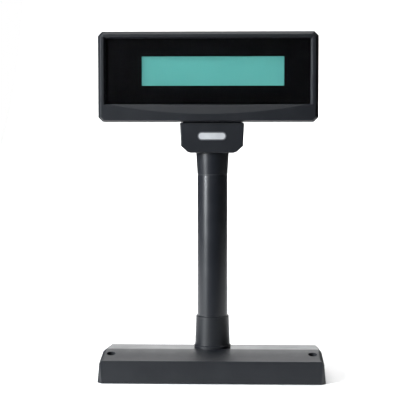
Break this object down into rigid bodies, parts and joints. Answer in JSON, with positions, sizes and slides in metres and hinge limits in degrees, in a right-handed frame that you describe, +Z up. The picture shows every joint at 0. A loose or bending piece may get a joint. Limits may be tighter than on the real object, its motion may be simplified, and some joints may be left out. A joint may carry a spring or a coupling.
{
  "type": "customer pole display",
  "caption": "Counter-top customer display: a wide liquid-crystal head that tilts and swivels on a round pole, standing on a low weighted base.",
  "frame": {"origin": "where the pole's axis meets the surface that the base stands on", "axes": "+X to the viewer's right, +Y away from the viewer, +Z up along the pole; the display faces -Y"},
  "size_m": [0.2349, 0.0945, 0.3609],
  "materials": {
    "case_black": "fine spark texture, satin",
    "pole_black": "semi-gloss",
    "carrier_black": "matte black light mask",
    "lens_clear": "polished, lightly smoked",
    "lcd_teal": "backlit liquid-crystal cell, blank",
    "backlight_white": "diffusing light guide",
    "plated_steel": "zinc plated",
    "spring_steel": "bright spring steel",
    "ballast_iron": "as cast, oiled",
    "foot_rubber": "matte",
    "part_black": "moulded, matte",
    "board_green": "solder resist",
    "acetal": "natural acetal",
    "contact_brass": "gold flashed",
    "connector_cream": "moulded nylon",
    "screw_black": "black zinc",
    "badge_rim": "satin grey",
    "badge_face": "brushed pale grey",
    "cable_jacket": "PVC jacket, satin",
    "ribbon_grey": "flat cable"
  },
  "bodies": {
    "stand": {"base_shell": "case_black", "base_plate": "plated_steel", "base_plate_screws": "plated_steel", "rubber_feet": "foot_rubber", "ballast_left": "ballast_iron", "ballast_right": "ballast_iron", "ballast_screws": "plated_steel", "inlet_board": "board_green", "inlet_board_spacers": "acetal", "inlet_board_screws": "plated_steel", "inlet_jack": "part_black", "inlet_contacts": "contact_brass", "harness_lower_plug": "connector_cream", "pole_socket": "case_black", "socket_nut": "part_black", "pole_tube": "pole_black", "pole_lock_screw": "screw_black", "spigot_lock_screw": "screw_black", "swivel_spigot": "part_black", "thrust_washer": "part_black", "retaining_ring": "spring_steel", "harness_lower": "cable_jacket"},
    "neck": {"neck_front_shell": "case_black", "neck_rear_shell": "case_black", "neck_shell_screws": "screw_black", "badge_plate": "badge_rim", "badge_inlay": "badge_face", "swivel_collar": "pole_black", "neck_bracket": "plated_steel", "neck_bracket_screws": "plated_steel", "swivel_spring_washer": "spring_steel", "tilt_bolt": "plated_steel", "tilt_lock_nut": "plated_steel", "friction_washers": "acetal", "tilt_spring_washers": "spring_steel", "harness_neck": "cable_jacket"},
    "head": {"front_bezel": "case_black", "rear_cover": "case_black", "rear_cover_screws": "screw_black", "lens_tape": "part_black", "filter_lens": "lens_clear", "display_carrier": "carrier_black", "carrier_screws": "plated_steel", "lcd_can": "part_black", "lcd_glass": "lcd_teal", "lcd_backlight": "backlight_white", "lcd_pcb": "board_green", "lcd_screws": "plated_steel", "lcd_driver_chips": "part_black", "control_board": "board_green", "control_board_screws": "plated_steel", "control_board_parts": "part_black", "harness_upper_plug": "connector_cream", "ribbon_headers": "connector_cream", "lcd_ribbon": "ribbon_grey", "head_bracket": "plated_steel", "head_bracket_screws": "plated_steel", "harness_upper": "cable_jacket"}
  },
  "joints": [
    {"name": "head_swivel", "type": "hinge", "parent": "stand", "child": "neck", "pos_m": [0, 0, 0.224], "axis": [0, 0, 1], "range_deg": [-135, 135]},
    {"name": "head_tilt", "type": "hinge", "parent": "neck", "child": "head", "pos_m": [0, 0.002, 0.284], "axis": [-1, 0, 0], "range_deg": [0, 30]}
  ]
}
